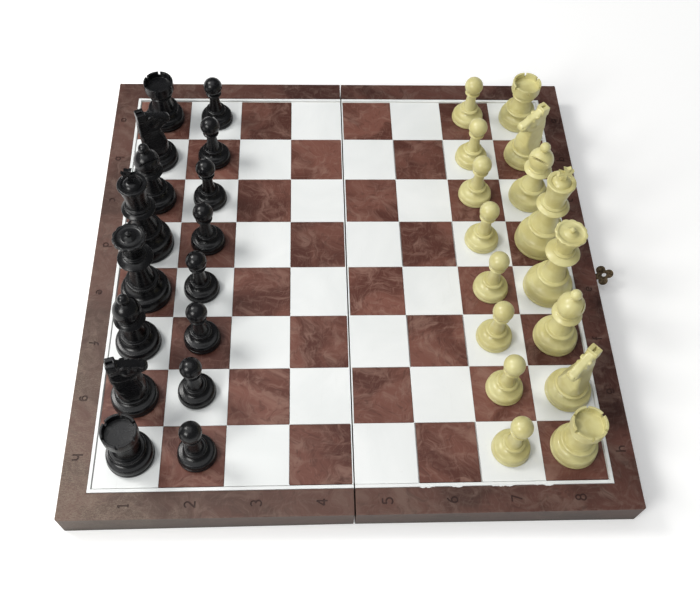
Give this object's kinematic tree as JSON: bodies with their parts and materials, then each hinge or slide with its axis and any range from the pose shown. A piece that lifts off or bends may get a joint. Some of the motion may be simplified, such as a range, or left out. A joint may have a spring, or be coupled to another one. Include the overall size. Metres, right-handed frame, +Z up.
{
  "type": "chess set with board",
  "caption": "Folding chess board of two hinged storage trays with white and brown squares, a flower hasp latch, and black and cream Staunton-pattern chessmen standing ready to play.",
  "frame": {"origin": "bottom centre of the open board, on the table under the middle of the seam", "axes": "+X from the black side towards the cream side, +Y away from the player at the front, +Z up"},
  "size_m": [0.3607, 0.341, 0.0986],
  "materials": {
    "brown_plastic": "marbled, satin",
    "brown_squares": "marbled, satin",
    "white_plastic": "satin",
    "black_plastic": "glossy",
    "cream_plastic": "satin",
    "hinge_brass": "plated, dull",
    "hinge_steel": "plain",
    "antique_brass": "darkened, worn"
  },
  "bodies": {
    "left_half": {"left_frame": "brown_plastic", "left_white_panel": "white_plastic", "left_brown_squares": "brown_squares", "left_hinge_leaves": "hinge_brass", "hinge_pins": "hinge_steel", "left_hinge_screws": "hinge_brass", "catch_plate": "antique_brass", "catch_nails": "antique_brass"},
    "right_half": {"right_frame": "brown_plastic", "right_white_panel": "white_plastic", "right_brown_squares": "brown_squares", "right_hinge_leaves": "hinge_brass", "right_hinge_screws": "hinge_brass", "latch_plate": "antique_brass", "latch_nails": "antique_brass", "latch_pin": "antique_brass"},
    "hasp": {"latch_hasp": "antique_brass"},
    "black_front_rook": {"black_front_rook": "black_plastic"},
    "black_front_knight": {"black_front_knight": "black_plastic"},
    "black_front_bishop": {"black_front_bishop": "black_plastic"},
    "black_queen": {"black_queen": "black_plastic"},
    "black_king": {"black_king": "black_plastic"},
    "black_back_bishop": {"black_back_bishop": "black_plastic"},
    "black_back_knight": {"black_back_knight": "black_plastic"},
    "black_back_rook": {"black_back_rook": "black_plastic"},
    "black_pawn_1": {"black_pawn_1": "black_plastic"},
    "black_pawn_2": {"black_pawn_2": "black_plastic"},
    "black_pawn_3": {"black_pawn_3": "black_plastic"},
    "black_pawn_4": {"black_pawn_4": "black_plastic"},
    "black_pawn_5": {"black_pawn_5": "black_plastic"},
    "black_pawn_6": {"black_pawn_6": "black_plastic"},
    "black_pawn_7": {"black_pawn_7": "black_plastic"},
    "black_pawn_8": {"black_pawn_8": "black_plastic"},
    "cream_front_rook": {"cream_front_rook": "cream_plastic"},
    "cream_front_knight": {"cream_front_knight": "cream_plastic"},
    "cream_front_bishop": {"cream_front_bishop": "cream_plastic"},
    "cream_queen": {"cream_queen": "cream_plastic"},
    "cream_king": {"cream_king": "cream_plastic"},
    "cream_back_bishop": {"cream_back_bishop": "cream_plastic"},
    "cream_back_knight": {"cream_back_knight": "cream_plastic"},
    "cream_back_rook": {"cream_back_rook": "cream_plastic"},
    "cream_pawn_1": {"cream_pawn_1": "cream_plastic"},
    "cream_pawn_2": {"cream_pawn_2": "cream_plastic"},
    "cream_pawn_3": {"cream_pawn_3": "cream_plastic"},
    "cream_pawn_4": {"cream_pawn_4": "cream_plastic"},
    "cream_pawn_5": {"cream_pawn_5": "cream_plastic"},
    "cream_pawn_6": {"cream_pawn_6": "cream_plastic"},
    "cream_pawn_7": {"cream_pawn_7": "cream_plastic"},
    "cream_pawn_8": {"cream_pawn_8": "cream_plastic"}
  },
  "joints": [
    {"name": "board_fold", "type": "hinge", "parent": "left_half", "child": "right_half", "pos_m": [0, 0, 0.0019], "axis": [0, 1, 0], "range_deg": [0, 178.6]},
    {"name": "hasp_swing", "type": "hinge", "parent": "right_half", "child": "hasp", "pos_m": [0.1726, -0.001, 0.0055], "axis": [0, 1, 0], "range_deg": [-60, 115]},
    {"name": "black_front_rook_lift", "type": "slide", "parent": "left_half", "child": "black_front_rook", "axis": [0, 0, 1], "range_m": [0, 0.0485]},
    {"name": "black_front_knight_lift", "type": "slide", "parent": "left_half", "child": "black_front_knight", "axis": [0, 0, 1], "range_m": [0, 0.06]},
    {"name": "black_front_bishop_lift", "type": "slide", "parent": "left_half", "child": "black_front_bishop", "axis": [0, 0, 1], "range_m": [0, 0.0672]},
    {"name": "black_queen_lift", "type": "slide", "parent": "left_half", "child": "black_queen", "axis": [0, 0, 1], "range_m": [0, 0.0782]},
    {"name": "black_king_lift", "type": "slide", "parent": "left_half", "child": "black_king", "axis": [0, 0, 1], "range_m": [0, 0.089]},
    {"name": "black_back_bishop_lift", "type": "slide", "parent": "left_half", "child": "black_back_bishop", "axis": [0, 0, 1], "range_m": [0, 0.0672]},
    {"name": "black_back_knight_lift", "type": "slide", "parent": "left_half", "child": "black_back_knight", "axis": [0, 0, 1], "range_m": [0, 0.06]},
    {"name": "black_back_rook_lift", "type": "slide", "parent": "left_half", "child": "black_back_rook", "axis": [0, 0, 1], "range_m": [0, 0.0485]},
    {"name": "black_pawn_1_lift", "type": "slide", "parent": "left_half", "child": "black_pawn_1", "axis": [0, 0, 1], "range_m": [0, 0.0505]},
    {"name": "black_pawn_2_lift", "type": "slide", "parent": "left_half", "child": "black_pawn_2", "axis": [0, 0, 1], "range_m": [0, 0.0505]},
    {"name": "black_pawn_3_lift", "type": "slide", "parent": "left_half", "child": "black_pawn_3", "axis": [0, 0, 1], "range_m": [0, 0.0505]},
    {"name": "black_pawn_4_lift", "type": "slide", "parent": "left_half", "child": "black_pawn_4", "axis": [0, 0, 1], "range_m": [0, 0.0505]},
    {"name": "black_pawn_5_lift", "type": "slide", "parent": "left_half", "child": "black_pawn_5", "axis": [0, 0, 1], "range_m": [0, 0.0505]},
    {"name": "black_pawn_6_lift", "type": "slide", "parent": "left_half", "child": "black_pawn_6", "axis": [0, 0, 1], "range_m": [0, 0.0505]},
    {"name": "black_pawn_7_lift", "type": "slide", "parent": "left_half", "child": "black_pawn_7", "axis": [0, 0, 1], "range_m": [0, 0.0505]},
    {"name": "black_pawn_8_lift", "type": "slide", "parent": "left_half", "child": "black_pawn_8", "axis": [0, 0, 1], "range_m": [0, 0.0505]},
    {"name": "cream_front_rook_lift", "type": "slide", "parent": "right_half", "child": "cream_front_rook", "axis": [0, 0, 1], "range_m": [0, 0.0485]},
    {"name": "cream_front_knight_lift", "type": "slide", "parent": "right_half", "child": "cream_front_knight", "axis": [0, 0, 1], "range_m": [0, 0.06]},
    {"name": "cream_front_bishop_lift", "type": "slide", "parent": "right_half", "child": "cream_front_bishop", "axis": [0, 0, 1], "range_m": [0, 0.0672]},
    {"name": "cream_queen_lift", "type": "slide", "parent": "right_half", "child": "cream_queen", "axis": [0, 0, 1], "range_m": [0, 0.0782]},
    {"name": "cream_king_lift", "type": "slide", "parent": "right_half", "child": "cream_king", "axis": [0, 0, 1], "range_m": [0, 0.089]},
    {"name": "cream_back_bishop_lift", "type": "slide", "parent": "right_half", "child": "cream_back_bishop", "axis": [0, 0, 1], "range_m": [0, 0.0672]},
    {"name": "cream_back_knight_lift", "type": "slide", "parent": "right_half", "child": "cream_back_knight", "axis": [0, 0, 1], "range_m": [0, 0.06]},
    {"name": "cream_back_rook_lift", "type": "slide", "parent": "right_half", "child": "cream_back_rook", "axis": [0, 0, 1], "range_m": [0, 0.0485]},
    {"name": "cream_pawn_1_lift", "type": "slide", "parent": "right_half", "child": "cream_pawn_1", "axis": [0, 0, 1], "range_m": [0, 0.0505]},
    {"name": "cream_pawn_2_lift", "type": "slide", "parent": "right_half", "child": "cream_pawn_2", "axis": [0, 0, 1], "range_m": [0, 0.0505]},
    {"name": "cream_pawn_3_lift", "type": "slide", "parent": "right_half", "child": "cream_pawn_3", "axis": [0, 0, 1], "range_m": [0, 0.0505]},
    {"name": "cream_pawn_4_lift", "type": "slide", "parent": "right_half", "child": "cream_pawn_4", "axis": [0, 0, 1], "range_m": [0, 0.0505]},
    {"name": "cream_pawn_5_lift", "type": "slide", "parent": "right_half", "child": "cream_pawn_5", "axis": [0, 0, 1], "range_m": [0, 0.0505]},
    {"name": "cream_pawn_6_lift", "type": "slide", "parent": "right_half", "child": "cream_pawn_6", "axis": [0, 0, 1], "range_m": [0, 0.0505]},
    {"name": "cream_pawn_7_lift", "type": "slide", "parent": "right_half", "child": "cream_pawn_7", "axis": [0, 0, 1], "range_m": [0, 0.0505]},
    {"name": "cream_pawn_8_lift", "type": "slide", "parent": "right_half", "child": "cream_pawn_8", "axis": [0, 0, 1], "range_m": [0, 0.0505]}
  ]
}
